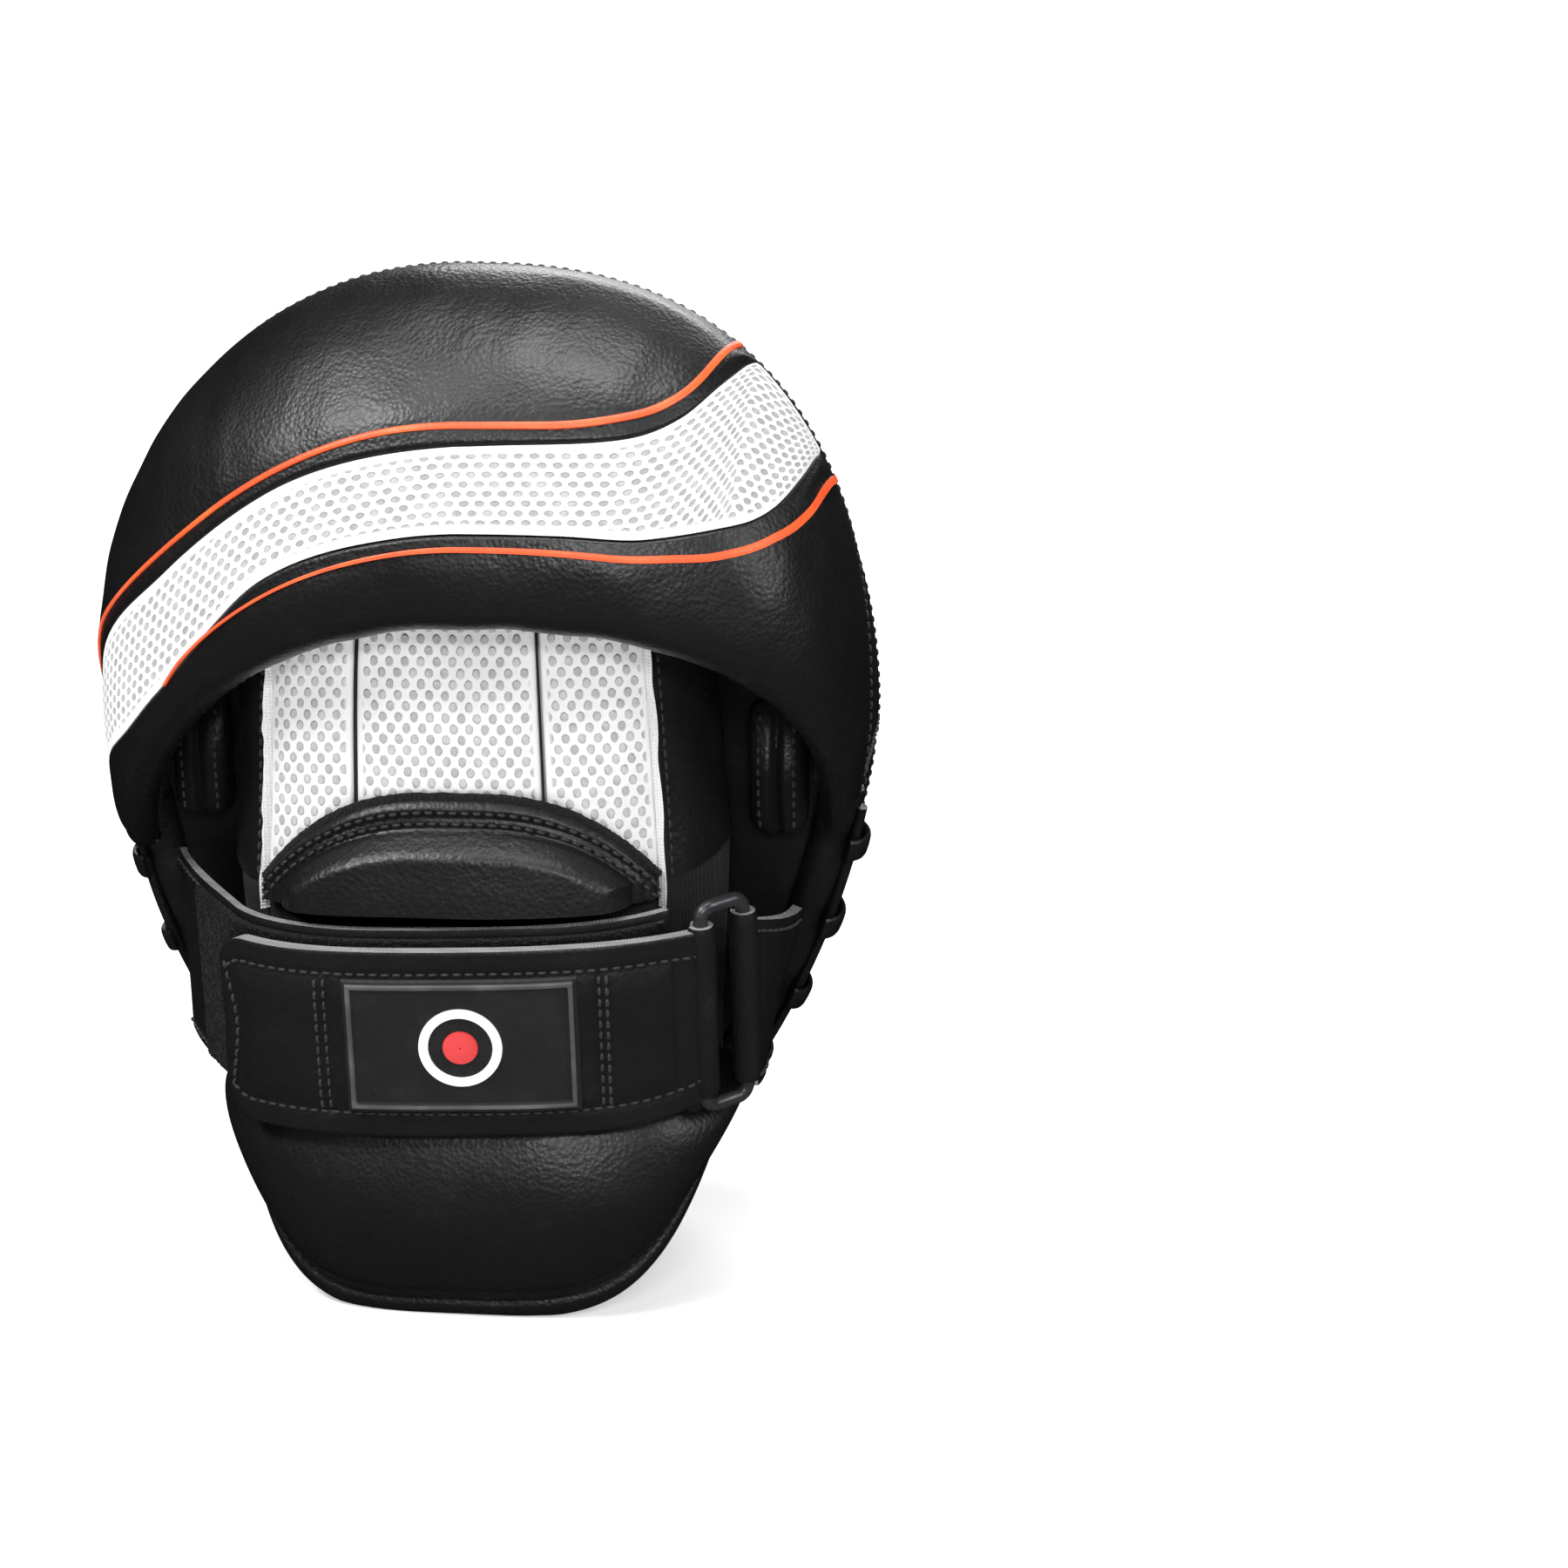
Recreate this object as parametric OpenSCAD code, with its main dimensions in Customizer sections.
// Focus mitt: a padded hand target with a finger hood, a mesh glove, a wrist cuff and a hook-and-loop strap.
// The mitt stands on the lower tip of its pad and on the lower edge of its cuff, striking face towards +Y.
// Shapes are first laid out upright (x sideways, y towards the striking face, z up the pad) and then leaned back.

/* [Pad] */
// Height of the striking face along its seam
pad_h = 254; // [252:1:256]
// Width of the striking face at its seam
pad_w = 190; // [188:1:192]
// Height of the widest place of the face above its lower tip
pad_waist = 146; // [144:1:148]
// Thickness of the pad from the face seam to its back
pad_t = 36; // [35:0.5:37]
// How far the middle of the face stands in front of its seam
face_rise = 10.6; // [10:0.1:11]
// How much further forward the two ends of the curved pad reach than its middle
bow_depth = 8; // [6:0.5:9]
// How far the side band flares upwards from the seam to the back
band_flare = 14; // [12:1:15]
// Radius of the orange target disc
target_r = 21.8; // [20:0.1:23]

/* [Hood] */
// Depth of the hood behind the back of the pad
hood_depth = 57; // [56:0.5:58]
// Height of the top of the arch in the hood's lower edge
hood_arch = 197; // [195:1:198]
// Height of the hood's left corner above the pad's lower tip
hood_corner_left = 123; // [122:1:124]
// Height of the hood's right corner, on the ring's side
hood_corner_right = 134; // [133:1:135]
// Thickness of the hood's foam
hood_foam_t = 8; // [6:0.5:8.5]

/* [Glove] */
// Thickness of the padding in the wrist cuff
cuff_pad_t = 7; // [5:0.5:7.5]
// Thickness of the padding on the back of the hand
hand_pad_t = 6; // [4:0.5:6.5]

/* [Strap] */
// Width of the closure strap
strap_w = 50; // [48:1:50]
// Diameter of the ring's wire
ring_wire = 3.6; // [3.2:0.1:3.8]

/* [Stance] */
// How far the mitt leans back onto its cuff, in degrees
lean_angle = 9.5; // [9:0.1:9.8]

/* [Hidden] */
skin_t = 1.5;                    // leather, and every other single layer
gap = 0.3;                       // air between neighbouring layers
upper_power = 2.1;               // roundness of the face outline above its waist
lower_power = 1.65;              // roundness below it
back_upper_power = 2.5;          // the same for the fuller quarters of the back
back_lower_power = 2;
back_wider = 2;                  // the back is this much wider to each side than the face seam
waist_climb = 14;                // and its widest place lies this much higher
band_end_z = 136;                // height at which the side band meets the lower side wall
wall_depth = 24;                 // the lower side wall, from the seam to the edge roll
roll_r = 4.8;                    // edge roll along the back of the lower wall
roll_in = 5;                     // its centre, inside the back outline
roll_y = -30.5;
strand_r = 1.3;                  // the lace
loops_per_side = 7;
around = 56;                     // steps round a whole outline
step_u = 28;                     // steps across the hood
step_v = 8;                      // steps from the hood's rim to its lower edge
stance_lift = 0.4;               // brings the lowest edges a little into the ground, which flattens them
middle_x = 0.77;                 // these two bring the origin to the middle of the mitt's box
middle_y = 56.44;
layer_lift = 0.4;                // printed pieces lie this far above the leather
strap_mid = 93;                  // height of the ring's middle
strap_low = 67;                  // lower edge of the closure strap
glove_front = pad_t + gap + 0.2; // the glove starts here, behind the pad's back

// ---------------------------------------------------------------- frame

// The pad is gently curved from end to end
function bow(z) = bow_depth * pow((z - pad_h / 2) / (pad_h / 2), 2);

function lean(p) = [
    p.x + middle_x,
    p.y * cos(lean_angle) - p.z * sin(lean_angle) + middle_y,
    p.y * sin(lean_angle) + p.z * cos(lean_angle) + stance_lift
];

// From the upright layout to where the point really is; nothing goes below the height low
function place(p, low = 0) =
    let (q = lean([p.x, p.y + bow(p.z), p.z]))
    [q.x, q.y, max(q.z, low)];

// ---------------------------------------------------------------- solids from rows of points

function flatten(rows) = [for (row = rows) each row];
function middle(row) = [for (k = [0:2]) [for (p = row) p[k]] * [for (p = row) 1 / len(row)]];

// Six times the volume inside the faces, negative where they are wound the wrong way
function volume6(points, faces) =
    [for (f = faces) points[f[0]] * cross(points[f[1]], points[f[2]])] * [for (f = faces) 1];
module wound(points, faces) {
    good = volume6(points, faces) < 0;
    polyhedron(points = points, faces = good ? faces : [for (f = faces) [f[0], f[2], f[1]]], convexity = 6);
}

// A solid through a list of closed outlines; its ends are closed by fans, or it closes on itself
module skin(rows, loop = false) {
    m = len(rows);
    n = len(rows[0]);
    last = loop ? m - 1 : m - 2;
    walls = [for (i = [0:last], j = [0:n - 1])
        let (i2 = (i + 1) % m, j2 = (j + 1) % n)
        each [[i * n + j, i * n + j2, i2 * n + j2], [i * n + j, i2 * n + j2, i2 * n + j]]];
    first_cap = [for (j = [0:n - 1]) [m * n, (j + 1) % n, j]];
    last_cap = [for (j = [0:n - 1]) [m * n + 1, (m - 1) * n + j, (m - 1) * n + (j + 1) % n]];
    wound(
        concat(flatten(rows), loop ? [] : [middle(rows[0]), middle(rows[m - 1])]),
        concat(walls, loop ? [] : concat(first_cap, last_cap))
    );
}

// A sheet between two grids of points, front being the side that faces out
module slab(front, back) {
    m = len(front);
    n = len(front[0]);
    s = m * n;
    faces = [for (i = [0:m - 2], j = [0:n - 2])
        let (a = i * n + j, b = a + n, c = b + 1, d = a + 1)
        each [[a, b, c], [a, c, d], [s + a, s + c, s + b], [s + a, s + d, s + c]]];
    sides = [for (i = [0:m - 2], e = [0, n - 1])
        let (a = i * n + e, b = a + n, up = e == 0)
        each up ? [[a, s + a, s + b], [a, s + b, b]] : [[a, b, s + b], [a, s + b, s + a]]];
    ends = [for (j = [0:n - 2], e = [0, m - 1])
        let (a = e * n + j, d = a + 1, left = e == 0)
        each left ? [[a, d, s + d], [a, s + d, s + a]] : [[a, s + a, s + d], [a, s + d, d]]];
    wound(concat(flatten(front), flatten(back)), concat(faces, sides, ends));
}

// ---------------------------------------------------------------- outlines

function spow(v, e) = sign(v) * pow(abs(v), e);
function mix(a, b, f) = a + (b - a) * f;

// Outline of the pad at angle t. f goes from the face seam (0) to the back (1), inset moves it inwards,
// and s shrinks it towards its waist. The result is [x, z].
function rim(t, f = 0, inset = 0, s = 1) =
    let (
        power = outline_power(t, f),
        half_w = (pad_w / 2 + back_wider * f - inset) * s,
        reach = ((sin(t) >= 0 ? pad_h + band_flare * f - waist(f) : waist(f) - 2 * f) - inset) * s
    )
    [half_w * spow(cos(t), 2 / power), waist(f) + reach * spow(sin(t), 2 / power)];

// Roundness of the outline's four quarters: the back is fuller above on the ring's side, below on the other
function outline_power(t, f) =
    sin(t) >= 0
        ? (cos(t) >= 0 ? mix(upper_power, back_upper_power, f) : upper_power)
        : (cos(t) >= 0 ? lower_power : mix(lower_power, back_lower_power, f));

// Height of the widest place: the back is widest further up than the face
function waist(f) = pad_waist + waist_climb * f;

// The angle at which the outline, below its waist, passes the height z on its right or left side
function angle_at(z, f, right = true) =
    asin(pow((waist(f) - z) / (waist(f) - 2 * f), outline_power(right ? -1 : 181, f) / 2));

function rim3(t, y, f = 0, inset = 0, s = 1, low = 0) =
    let (p = rim(t, f, inset, s)) place([p.x, y, p.y], low);

// One whole outline, counter-clockwise as seen from the back
function hoop(y, f = 0, inset = 0, s = 1, low = 0) =
    [for (i = [0:around - 1]) rim3(360 * i / around, y, f, inset, s, low)];

// Inset that is small in the upper half and wide in the lower half, where the edge roll lies
function back_inset(t, top, bottom) = mix(bottom, top, min(1, max(0, 1 + 8 * sin(t))));

// How far out a place of the face is, from 0 at the waist to 1 at the shoulder
shoulder = 14;
function face_rho(x, z) =
    let (
        up = z >= pad_waist,
        power = up ? upper_power : lower_power,
        reach = (up ? pad_h - pad_waist : pad_waist) - shoulder
    )
    pow(pow(abs(x) / (pad_w / 2 - shoulder), power) + pow(abs(z - pad_waist) / reach, power), 1 / power);
face_crown = 2.4;
function face_y(rho, depth = 0) = face_rise - face_crown * rho * rho - depth;

// ---------------------------------------------------------------- pad

// Rows over the raised face, from its middle to the seam
function face_rows(depth, side) = concat(
    [for (s = [0.03, 0.25, 0.5, 0.75]) hoop(face_y(s, depth), 0, shoulder, s)],
    [
        hoop(face_y(1, depth), 0, shoulder),
        hoop(face_rise - 4.6 - depth * 0.8, 0, 8 + side * 0.6),
        hoop(face_rise - 7.8 - depth * 0.3, 0, 4.9 + side)
    ]
);
function reversed(rows) = [for (i = [len(rows) - 1:-1:0]) rows[i]];

module face_cover() {
    color("#1c1c1e")
    skin(concat(face_rows(0, 0), [hoop(0.4, 0, 4.1)], [hoop(0.4, 0, 5.8)], reversed(face_rows(skin_t, skin_t))));
}

// A point of the face at distance r and angle a from the middle of the target
target_z = 124;
function on_face(r, a, lift) =
    let (x = r * cos(a), z = target_z + r * sin(a))
    place([x, face_y(face_rho(x, z)) + lift, z]);

module target_disc() {
    color("#e8481c")
    skin([for (lift = [layer_lift, layer_lift + 0.6]) [for (i = [0:47]) on_face(target_r, -i * 7.5, lift)]]);
}

// The three white rings, each given by its inner and outer radius
ring_radii = [[25, 28.9], [30.8, 32.8], [35.6, 37.5]];
module target_rings() {
    color("#f4f4f2")
    for (r = ring_radii)
        skin([for (i = [0:59]) let (a = i * 6) [
            on_face(r[0], a, layer_lift), on_face(r[1], a, layer_lift),
            on_face(r[1], a, layer_lift + 0.5), on_face(r[0], a, layer_lift + 0.5)
        ]], loop = true);
}

// A cord of radius r along the pad's outline between two angles, centred at the depth y and the given inset
function cord_rows(t0, t1, steps, y, f, inset, r, sides = 8, low = 0) = [
    for (i = [0:steps])
        let (t = t0 + (t1 - t0) * i / steps)
        [for (k = [0:sides - 1]) let (a = 360 * k / sides) rim3(t, y + r * sin(a), f, inset + r * cos(a), 1, low)]
];

module face_piping() {
    color("#141416")
    skin([for (i = [0:around - 1]) let (t = 360 * i / around)
        [for (k = [0:7]) rim3(t, 1.9 + 1.6 * sin(45 * k), 0, 2 + 1.6 * cos(45 * k))]], loop = true);
}

module impact_foam() {
    color("#c9b98a")
    skin(concat(
        face_rows(skin_t + gap, skin_t + gap),
        [hoop(0, 0, 6.3), hoop(-0.3, 0.02, 2.4), hoop(-9, 0.3, 2.6, 1, 1)]
    ));
}

module core_foam() {
    color("#8d8f94")
    skin([hoop(-9 - gap, 0.3, 2.6, 1, 1), hoop(-wall_depth - 1, 0.7, 2.4, 1, 1)]);
}

// A plate behind the edge roll, between two depths
module back_layer(y0, y1, top, bottom) {
    skin([for (y = [y0, y1]) [
        for (i = [0:around - 1]) let (t = 360 * i / around) rim3(t, y, -y / pad_t, back_inset(t, top, bottom))
    ]]);
}

module back_foam() {
    color("#c9b98a") back_layer(-wall_depth - 1 - gap, -pad_t + 2.5 + gap, 2, 10.4);
}

module back_panel() {
    color("#19191b") back_layer(-pad_t + 2.5, -pad_t, 2, 10.4);
}

// Sheets along the pad's side: the band over the top, or the wall round the bottom. joint is the air
// between the two where they meet.
function side_grid(upper, steps, f0, f1, inset, low, joint) = [
    for (i = [0:steps])
        [for (f = [f0, (f0 + f1) / 2, f1])
            let (
                end = band_end_z + (upper ? joint : -joint),
                right = angle_at(end, f),
                left = angle_at(end, f, false),
                t = upper ? mix(180 + left, -right, i / steps) : mix(-right, left - 180, i / steps)
            )
            rim3(t, -pad_t * f, f, inset, 1, low)]
];

module side_band() {
    color("#1b1b1d") slab(side_grid(true, 36, 0, 1, 0, 0, 0), side_grid(true, 36, 0, 1, skin_t, 0, 0));
}

wall_end = wall_depth / pad_t;
module side_wall() {
    color("#18181a")
    slab(side_grid(false, 36, 0, wall_end, 0, 0, gap), side_grid(false, 36, 0, wall_end, skin_t, skin_t, gap));
}

roll_end = angle_at(band_end_z - gap, 1) + 1;
module edge_roll() {
    color("#161618") skin(cord_rows(roll_end - 180, -roll_end, 40, roll_y, 1, roll_in, roll_r));
}

strand_in = -1.6;
module lace_strand() {
    color("#101012")
    for (t = [[-15, -72], [-165, -108]])
        skin(cord_rows(t[0], t[1], 18, roll_y - 2, 1, strand_in, strand_r, 6, 0.2));
}

// One lace loop over the edge roll and the strand, at angle t
loop_r = 7.1;
first_loop = -19;
loop_step = 8.5;
module lace_loop(t) {
    wide = 1.35;                 // a flat thong, in degrees of outline to either side
    rows = [for (i = [0:6]) let (a = -58 + i * 58 / 3)
        [for (k = [[-1, -1], [1, -1], [1, 1], [-1, 1]])
            let (r = loop_r + 0.9 * k[1])
            rim3(t + wide * k[0], roll_y + r * sin(a), 1, 2.6 - r * cos(a), 1, 0.2)]];
    skin(rows);
}

module lace_loops() {
    color("#101012")
    for (side = [0, 1], i = [0:loops_per_side - 1])
        lace_loop(side == 0 ? first_loop - i * loop_step : -180 - first_loop + i * loop_step);
}

// ---------------------------------------------------------------- hood

corner_half_w = 91;
arch_power = [2, 2.5];           // roundness of the arch on its left and on its right
arch_shift = 7;                  // the arch leans towards the ring's side

function bezier(a, b, c, d, v) =
    let (w = 1 - v) a * w * w * w + b * 3 * w * w * v + c * 3 * w * v * v + d * v * v * v;

// The hood's lower edge at u, from -1 at the left corner to 1 at the right one
function hood_edge(u, inset) =
    let (
        a = 90 * u,
        power = arch_power[u < 0 ? 0 : 1],
        corner = u < 0 ? hood_corner_left : hood_corner_right
    )
    [
        arch_shift * (1 - u * u) + (corner_half_w - inset * 0.5) * spow(sin(a), 2 / power),
        -pad_t - 14 - (hood_depth - 14) * pow(cos(a), 0.8) + inset,
        corner + (hood_arch - corner) * pow(cos(a), 2 / power)
    ];

// A point of the hood, from its rim (v = 0) to its lower edge (v = 1), inset by the layers outside it
function hood_point(u, v, inset) =
    let (
        t = 90 - (90 + angle_at(band_end_z, 1, u >= 0)) * u,
        r = rim(t, 1, inset),
        lift = cos(90 * u),
        start = [r.x, -pad_t - gap, r.y],
        stop = hood_edge(u, inset),
        reach = -stop.y - pad_t,
        out = [sin(90 * u), 0, cos(90 * u)],
        second = start + [0, -0.55 * reach, 0] + out * (1 + 2 * lift),
        third = stop + [out.x * 3, -4 - 3 * lift, 6 + 24 * lift]
    )
    bezier(start, second, third, stop, v);

// A patch of the hood between the lines from(u) and to(u), for u from u0 to u1
function hood_grid(inset, from, to, steps, u0 = -1, u1 = 1) =
    let (columns = round(step_u * (u1 - u0) / 2))
    [for (i = [0:columns])
        let (u = mix(u0, u1, i / columns))
        [for (j = [0:steps]) place(hood_point(u, mix(from(u), to(u), j / steps), inset))]];

// Height of a smooth curve through the points [u, v], level beyond its ends
function line(points, u) =
    let (
        n = len(points),
        k = max([for (i = [0:n - 2]) points[i][0] <= u ? i : 0]),
        a = points[k], b = points[k + 1],
        before = points[max(k - 1, 0)], after = points[min(k + 2, n - 1)],
        f = min(1, max(0, (u - a[0]) / (b[0] - a[0]))),
        slope_a = (b[1] - before[1]) / (b[0] - before[0]) * (b[0] - a[0]),
        slope_b = (after[1] - a[1]) / (after[0] - a[0]) * (b[0] - a[0])
    )
    a[1] * (1 + 2 * f) * (1 - f) * (1 - f) + slope_a * f * (1 - f) * (1 - f)
    + b[1] * f * f * (3 - 2 * f) + slope_b * f * f * (f - 1);

// The mesh band's upper and lower edge, and the thin orange lines above and below it, as [u, v]
mesh_top = [[-1, 0.05], [-0.85, 0.3], [-0.7, 0.48], [-0.54, 0.58], [-0.25, 0.585], [0.02, 0.57], [0.2, 0.515],
    [0.3, 0.4], [0.37, 0.2], [0.41, 0.01]];
mesh_low = [[-1, 0.45], [-0.8, 0.77], [-0.64, 0.85], [-0.5, 0.83], [-0.35, 0.775], [-0.1, 0.765], [0.12, 0.75],
    [0.26, 0.715], [0.42, 0.585], [0.5, 0.45], [0.55, 0.25], [0.58, 0]];
stripe_top = [[-0.95, 0.03], [-0.83, 0.24], [-0.7, 0.42], [-0.57, 0.515], [-0.42, 0.55], [-0.1, 0.535],
    [0.1, 0.515], [0.2, 0.465], [0.27, 0.39], [0.32, 0.27], [0.37, 0.02]];
stripe_low = [[-0.6, 0.862], [-0.54, 0.84], [-0.34, 0.815], [-0.09, 0.8], [0.19, 0.783], [0.29, 0.75],
    [0.4, 0.68], [0.5, 0.55], [0.575, 0.35], [0.62, 0.03]];
seam_v = 0.008;                  // the seam between two panels
crown_end = 0.4;                 // where the mesh band's edges reach the rim
mesh_end = 0.57;
rim_line = function (u) 0;
edge_line = function (u) 1;
mesh_top_line = function (u) line(mesh_top, u);
mesh_low_line = function (u) line(mesh_low, u);
above_mesh = function (u) mesh_top_line(u) - seam_v;
below_mesh = function (u) min(1, mesh_low_line(u) + seam_v);
mesh_first = function (u) u < crown_end ? mesh_top_line(u) : 0.005;

module hood_panel(from, to, u0, u1) {
    slab(hood_grid(0, from, to, 5, u0, u1), hood_grid(skin_t, from, to, 5, u0, u1));
}
module hood_crown() { color("#1a1a1c") hood_panel(rim_line, above_mesh, -1, crown_end); }
module hood_mesh() { color("#f2f2f0") hood_panel(mesh_first, mesh_low_line, -1, mesh_end); }
module hood_brow() { color("#1a1a1c") hood_panel(below_mesh, edge_line, -1, 1); }

stripe_v = 0.011;
stripe_lift = [1.6, 1.1];        // outer and inner face above the leather
module hood_stripe(points) {
    steps = 24;
    grids = [for (lift = stripe_lift) [for (i = [0:steps])
        let (u = mix(points[0][0], points[len(points) - 1][0], i / steps), v = line(points, u))
        [for (e = [-stripe_v, stripe_v]) place(hood_point(u, v + e, -lift))]]];
    slab(grids[0], grids[1]);
}

module hood_pinstripes() {
    color("#e8481c") {
        hood_stripe(stripe_top);
        hood_stripe(stripe_low);
    }
}

foam_in = skin_t + 5 * gap;
lining_in = foam_in + hood_foam_t + gap;
module hood_foam() {
    color("#c9b98a")
    slab(hood_grid(foam_in, rim_line, edge_line, step_v), hood_grid(foam_in + hood_foam_t, rim_line, edge_line, step_v));
}

module hood_lining() {
    color("#232326")
    slab(hood_grid(lining_in, rim_line, edge_line, step_v), hood_grid(lining_in + 1.2, rim_line, edge_line, step_v));
}

// Binding folded over the hood's lower edge
module hood_binding() {
    color("#0f0f11")
    skin([for (i = [0:step_u])
        let (
            u = -1 + 2 * i / step_u,
            outer = hood_point(u, 1, 0),
            inner = hood_point(u, 1, lining_in + 1.2),
            down = [-sin(90 * u) * 0.7, 0, -cos(90 * u) - 0.25]
        )
        [place(outer + down * 0.4), place(inner + down * 0.4), place(inner + down * 3), place(outer + down * 3)]]);
}

// ---------------------------------------------------------------- glove

// Half-width and depth of the glove's inner face at heights up the pad
glove_w = [[-20, 56], [16, 58], [60, 57.5], [120, 61], [140, 60], [190, 56], [215, 50], [236, 38], [250, 30]];
glove_d = [[-20, 66], [16, 64], [60, 57], [90, 53], [120, 48], [140, 43], [190, 37], [215, 26], [236, 5], [250, 4]];
glove_power = 3;
glove_slope = 0.05;              // the glove and its strap rise a little towards the ring's side

// The glove at angle a (0 faces straight back, 90 is the ring's side), height z, outset by the layers under it
function glove(a, z, out) =
    place([
        (line(glove_w, z) + out) * spow(sin(a), 2 / glove_power),
        -glove_front - (line(glove_d, z) + out) * pow(abs(cos(a)), 2 / glove_power),
        z + glove_slope * line(glove_w, z) * sin(a)
    ]);

// A patch of the glove between the heights low(a) and high(a), between the angles a0 and a1
function glove_grid(a0, a1, steps, low, high, rows, out) = [
    for (i = [0:steps]) let (a = mix(a0, a1, i / steps))
    [for (j = [0:rows]) let (h = j / rows) glove(a, mix(high(a), low(a), h), out(h))]
];

// Heights of the glove's edges
cuff_low = 19.5;
cuff_line = function (a) cuff_low + 43 * pow(abs(sin(a)), 3.2);
lining_line = function (a) cuff_line(a) + 1;
cuff_high = function (a) strap_low - 1.5;
hand_low = 122;
hand_high = function (a) 149 - 23 * pow(sin(a) / sin(hand_half), 2);

module glove_lining() {
    color("#2a2a2d")
    slab(
        glove_grid(-86, 86, 28, lining_line, function (a) hand_low + 2, 8, function (h) 1.2),
        glove_grid(-86, 86, 28, lining_line, function (a) hand_low + 2, 8, function (h) 0)
    );
}

// The finger sleeve: three mesh panels between two leather side walls
sleeve_low = hand_low + 2 + gap;
sleeve_high = 236;
seam_left = -15;
seam_right = 12.5;
mesh_half = 45;
seam_gap = 0.4;
module sleeve(a0, a1, t = 1.4) {
    low = function (a) sleeve_low;
    high = function (a) sleeve_high;
    slab(
        glove_grid(a0, a1, 6, low, high, 10, function (h) t),
        glove_grid(a0, a1, 6, low, high, 10, function (h) 0)
    );
}
module sleeve_centre() { color("#f0f0ee") sleeve(seam_left, seam_right); }
module sleeve_left() { color("#f0f0ee") sleeve(-mesh_half, seam_left - seam_gap); }
module sleeve_right() { color("#f0f0ee") sleeve(seam_right + seam_gap, mesh_half); }
module sleeve_wall_left() { color("#1a1a1c") sleeve(-88, -mesh_half - seam_gap); }
module sleeve_wall_right() { color("#1a1a1c") sleeve(mesh_half + seam_gap, 88); }

// Rounded padding under a cover: full in the middle, thin at both edges
function puff(h, full) = 0.6 + full * pow(sin(180 * mix(0.04, 0.96, h)), 0.5);

hand_half = 43;
hand_base = function (a) 122;
module hand_foam() {
    color("#c9b98a")
    slab(
        glove_grid(-hand_half, hand_half, 16, hand_base, hand_high, 6,
            function (h) 1.7 + puff(h, hand_pad_t)),
        glove_grid(-hand_half, hand_half, 16, hand_base, hand_high, 6, function (h) 1.7)
    );
}

module hand_cover() {
    color("#1b1b1e")
    slab(
        glove_grid(-hand_half, hand_half, 16, hand_base, hand_high, 6,
            function (h) 2 + skin_t + puff(h, hand_pad_t)),
        glove_grid(-hand_half, hand_half, 16, hand_base, hand_high, 6,
            function (h) 2 + puff(h, hand_pad_t))
    );
}

cuff_half = 80;
module cuff_foam() {
    color("#c9b98a")
    slab(
        glove_grid(-cuff_half, cuff_half, 20, function (a) cuff_line(a) + 1.5, cuff_high, 6,
            function (h) 1.5 + puff(h, cuff_pad_t)),
        glove_grid(-cuff_half, cuff_half, 20, function (a) cuff_line(a) + 1.5, cuff_high, 6, function (h) 1.5)
    );
}

module cuff_cover() {
    color("#1b1b1e")
    slab(
        glove_grid(-cuff_half, cuff_half, 20, function (a) cuff_line(a) + 1.5, cuff_high, 6,
            function (h) 1.8 + skin_t + puff(h, cuff_pad_t)),
        glove_grid(-cuff_half, cuff_half, 20, function (a) cuff_line(a) + 1.5, cuff_high, 6,
            function (h) 1.8 + puff(h, cuff_pad_t))
    );
}

// Binding folded over the lower edge of the cuff
module cuff_binding() {
    color("#0f0f11")
    slab(
        glove_grid(-84, 84, 28, function (a) cuff_line(a) - 4.5, function (a) cuff_line(a) + 0.6, 2, function (h) 5.5),
        glove_grid(-84, 84, 28, function (a) cuff_line(a) - 4.5, function (a) cuff_line(a) + 0.6, 2, function (h) -0.6)
    );
}

// A padded piece on each side of the finger sleeve, lying on the pad's back
cushion_x = 74;
cushion_z = 142;
cushion_half_w = 7.5;
cushion_half_h = 18;
module side_cushion(side) {
    color("#1d1d20")
    skin([for (level = [[0.4, 1], [5, 0.97], [8.5, 0.8], [10, 0.4]])
        [for (i = [0:23]) let (a = 15 * i)
            place([
                side * cushion_x + cushion_half_w * level[1] * cos(a),
                -glove_front - level[0],
                cushion_z + cushion_half_h * level[1] * sin(a)
            ])]]);
}
module side_cushion_left() { side_cushion(-1); }
module side_cushion_right() { side_cushion(1); }

// ---------------------------------------------------------------- strap and ring

// The strap's path round the wrist: the same at every height, so that the ring's bars can be straight
strap_w_half = 66;
strap_d = 56;
function strap_xy(a, out) = [
    (strap_w_half + out) * spow(sin(a), 2 / glove_power),
    -glove_front - (strap_d + out) * pow(abs(cos(a)), 2 / glove_power)
];
// The wrist band leaves that path on the left, where it runs out to the pad's edge
function to_rim(a) = let (f = min(1, max(0, (-50 - a) / 38))) [-13 * f * f, 5 * f * (1 - f)];
function upright(p, z) = lean([p.x, p.y, z + glove_slope * p.x]);
function strap_grid(a0, a1, steps, low, high, out, band = false) = [
    for (i = [0:steps]) let (a = mix(a0, a1, i / steps), p = strap_xy(a, out) + (band ? to_rim(a) : [0, 0]))
    [for (z = [high(a), (high(a) + low(a)) / 2, low(a)]) upright(p, z)]
];
module strap_layer(a0, a1, steps, low, high, out0, out1, band = false) {
    slab(strap_grid(a0, a1, steps, low, high, out1, band), strap_grid(a0, a1, steps, low, high, out0, band));
}

under_low = function (a) 69;
under_high = function (a) 120;
loop_low = function (a) 71;
loop_high = function (a) 118;
strap_high = strap_low + strap_w;
ring_angle = 49;                 // where the inner bar of the ring lies
strap_low_line = function (a) strap_low + 2 * smooth_end(a);
strap_high_line = function (a) strap_high - 2 * smooth_end(a);
function smooth_end(a) = pow(max(0, (a - 10) / 37), 2);

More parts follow.
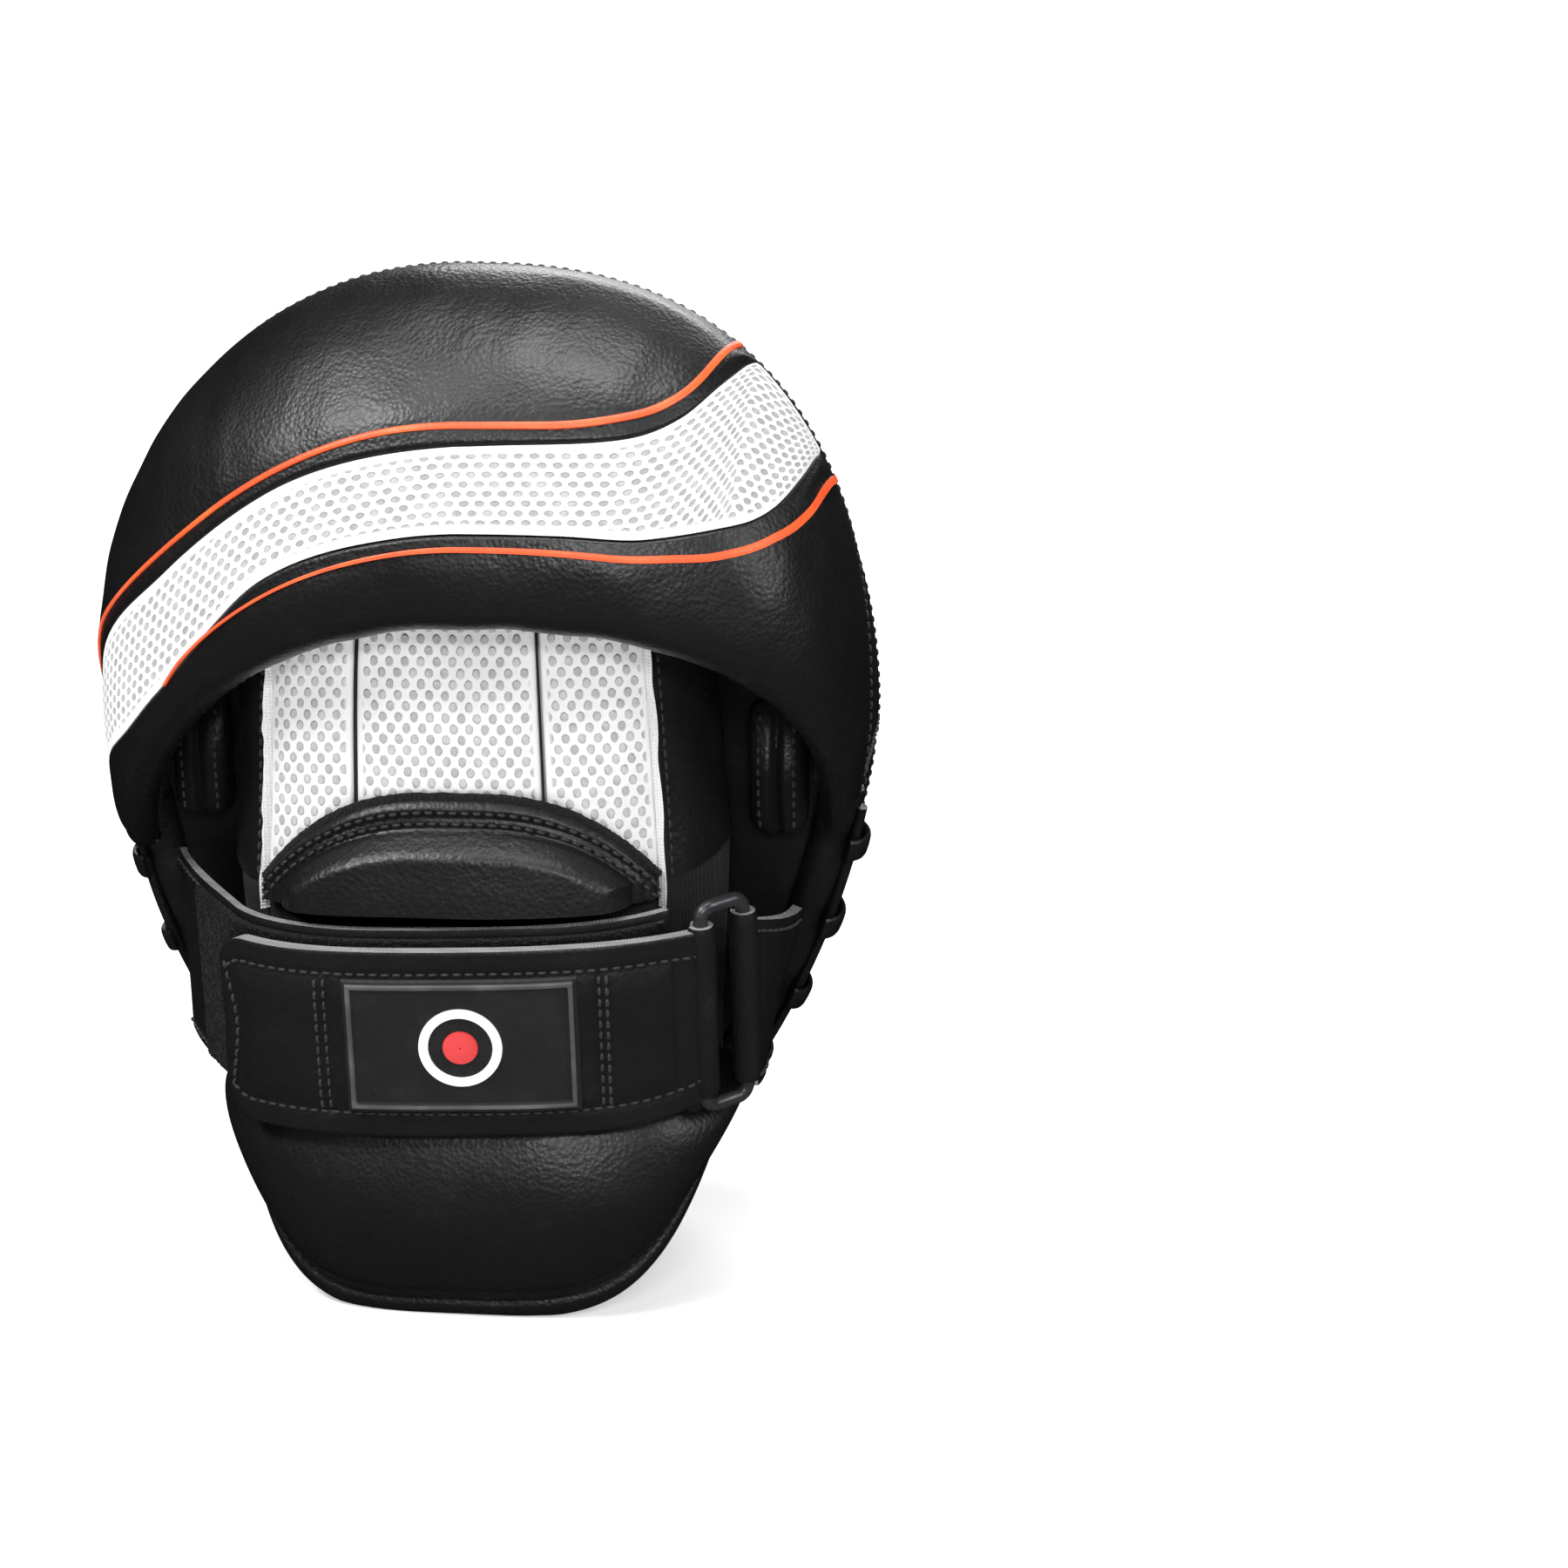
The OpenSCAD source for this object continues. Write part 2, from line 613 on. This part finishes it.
under_out = 0.2;
tape_out = under_out + 2 + gap;
hook_out = tape_out + 1.2 + gap;
closure_out = hook_out + 1.2 + gap;
badge_out = closure_out + 3 + gap;

module under_strap() {
    color("#1a1a1d")
    strap_layer(-88, ring_angle - 8, 32, under_low, under_high, under_out, under_out + 2, true);
}
module loop_tape() {
    color("#121213")
    strap_layer(-72, ring_angle - 12, 30, loop_low, loop_high, tape_out, tape_out + 1.2, true);
}
module hook_tape() {
    color("#121213")
    strap_layer(-43, 4, 14, function (a) strap_low + 5, function (a) strap_high - 5, hook_out, hook_out + 1.2);
}

// The ring: two long bars joined by two short ones
bar_r = ring_wire / 2;
bar_half = 27;
inner_bar = strap_xy(ring_angle, closure_out + 1.5);
outer_bar = inner_bar + [9.2, 8.6];
running = 0.08;
sleeve_r = bar_r + running + 1.7;

module along_bar(p, length, r, z = strap_mid) {
    translate(upright(p, z)) rotate([lean_angle, 0, 0]) cylinder(r = r, h = length, center = true, $fn = 40);
}

module ring() {
    span = outer_bar - inner_bar;
    color("#2c2c30") {
        along_bar(inner_bar, 2 * bar_half + 2 * bar_r, bar_r);
        along_bar(outer_bar, 2 * bar_half + 2 * bar_r, bar_r);
        for (end = [-1, 1])
            translate(upright(inner_bar, strap_mid + end * bar_half))
            rotate([lean_angle, 0, 0])
            rotate([0, 0, atan2(span.y, span.x)])
            rotate([0, 90, 0])
            cylinder(r = bar_r - 0.2, h = norm(span), $fn = 32);
    }
}

// The strap folds round the inner bar in a sleeve
module closure_strap() {
    color("#1b1b1e") {
        difference() {
            along_bar(inner_bar, strap_w - 4, sleeve_r);
            along_bar(inner_bar, strap_w + 10, bar_r + running);
        }
        strap_layer(-46, ring_angle - 2.8, 30, strap_low_line, strap_high_line, closure_out, closure_out + 3);
    }
}

// The tab folds round the outer bar and is sewn to the pad's edge
tab_root_low = [64.5, -pad_t - 1.2, 62];
tab_root_high = [78, -pad_t - 1.2, 103];
tab_t = 3;
module ring_tab() {
    color("#19191c") {
        difference() {
            along_bar(outer_bar, strap_w - 4, sleeve_r);
            along_bar(outer_bar, strap_w + 10, bar_r + running);
        }
        rows = 6;
        start = outer_bar + [1.2, 2.6];
        grid = [for (k = [0, 1]) [for (i = [0:rows]) let (f = i / rows)
            [for (h = [1, 0.5, 0])
                let (
                    near = [start.x, start.y, strap_mid + (h - 0.5) * (strap_w - 4)],
                    far = mix(tab_root_low, tab_root_high, h),
                    bulge = [2.5 * sin(180 * f), -2 * sin(180 * f), 0],
                    thick = k == 0 ? [tab_t / 2, 0, 0] : [-tab_t / 2, 0, 0]
                )
                lean(mix(near, far, f) + bulge + thick)]]];
        slab(grid[0], grid[1]);
    }
}

module badge() {
    color("#222225")
    strap_layer(-11.8, 16.6, 10, function (a) strap_low + 7, function (a) strap_low + 43, badge_out, badge_out + 1.6);
}

// A plain open ring with a small disc in it, raised on the badge
module badge_emblem() {
    z = strap_low + 25;
    front = strap_xy(0.5, badge_out + 1.6 + 0.1);
    color("#e4e4e2")
    translate(upright(front, z)) rotate([lean_angle + 90, 0, 0]) {
        difference() {
            cylinder(r = 10.5, h = 0.8, $fn = 64);
            translate([0, 0, -1]) cylinder(r = 8, h = 3, $fn = 64);
        }
        cylinder(r = 4.5, h = 0.8, $fn = 48);
    }
}

// ---------------------------------------------------------------- drawing

face_cover();
target_disc();
target_rings();
face_piping();
impact_foam();
core_foam();
back_foam();
back_panel();
side_band();
side_wall();
edge_roll();
lace_strand();
lace_loops();
hood_crown();
hood_mesh();
hood_brow();
hood_pinstripes();
hood_foam();
hood_lining();
hood_binding();
glove_lining();
sleeve_centre();
sleeve_left();
sleeve_right();
sleeve_wall_left();
sleeve_wall_right();
side_cushion_left();
side_cushion_right();
hand_foam();
hand_cover();
cuff_foam();
cuff_cover();
cuff_binding();
under_strap();
loop_tape();
ring_tab();
ring();
closure_strap();
hook_tape();
badge();
badge_emblem();
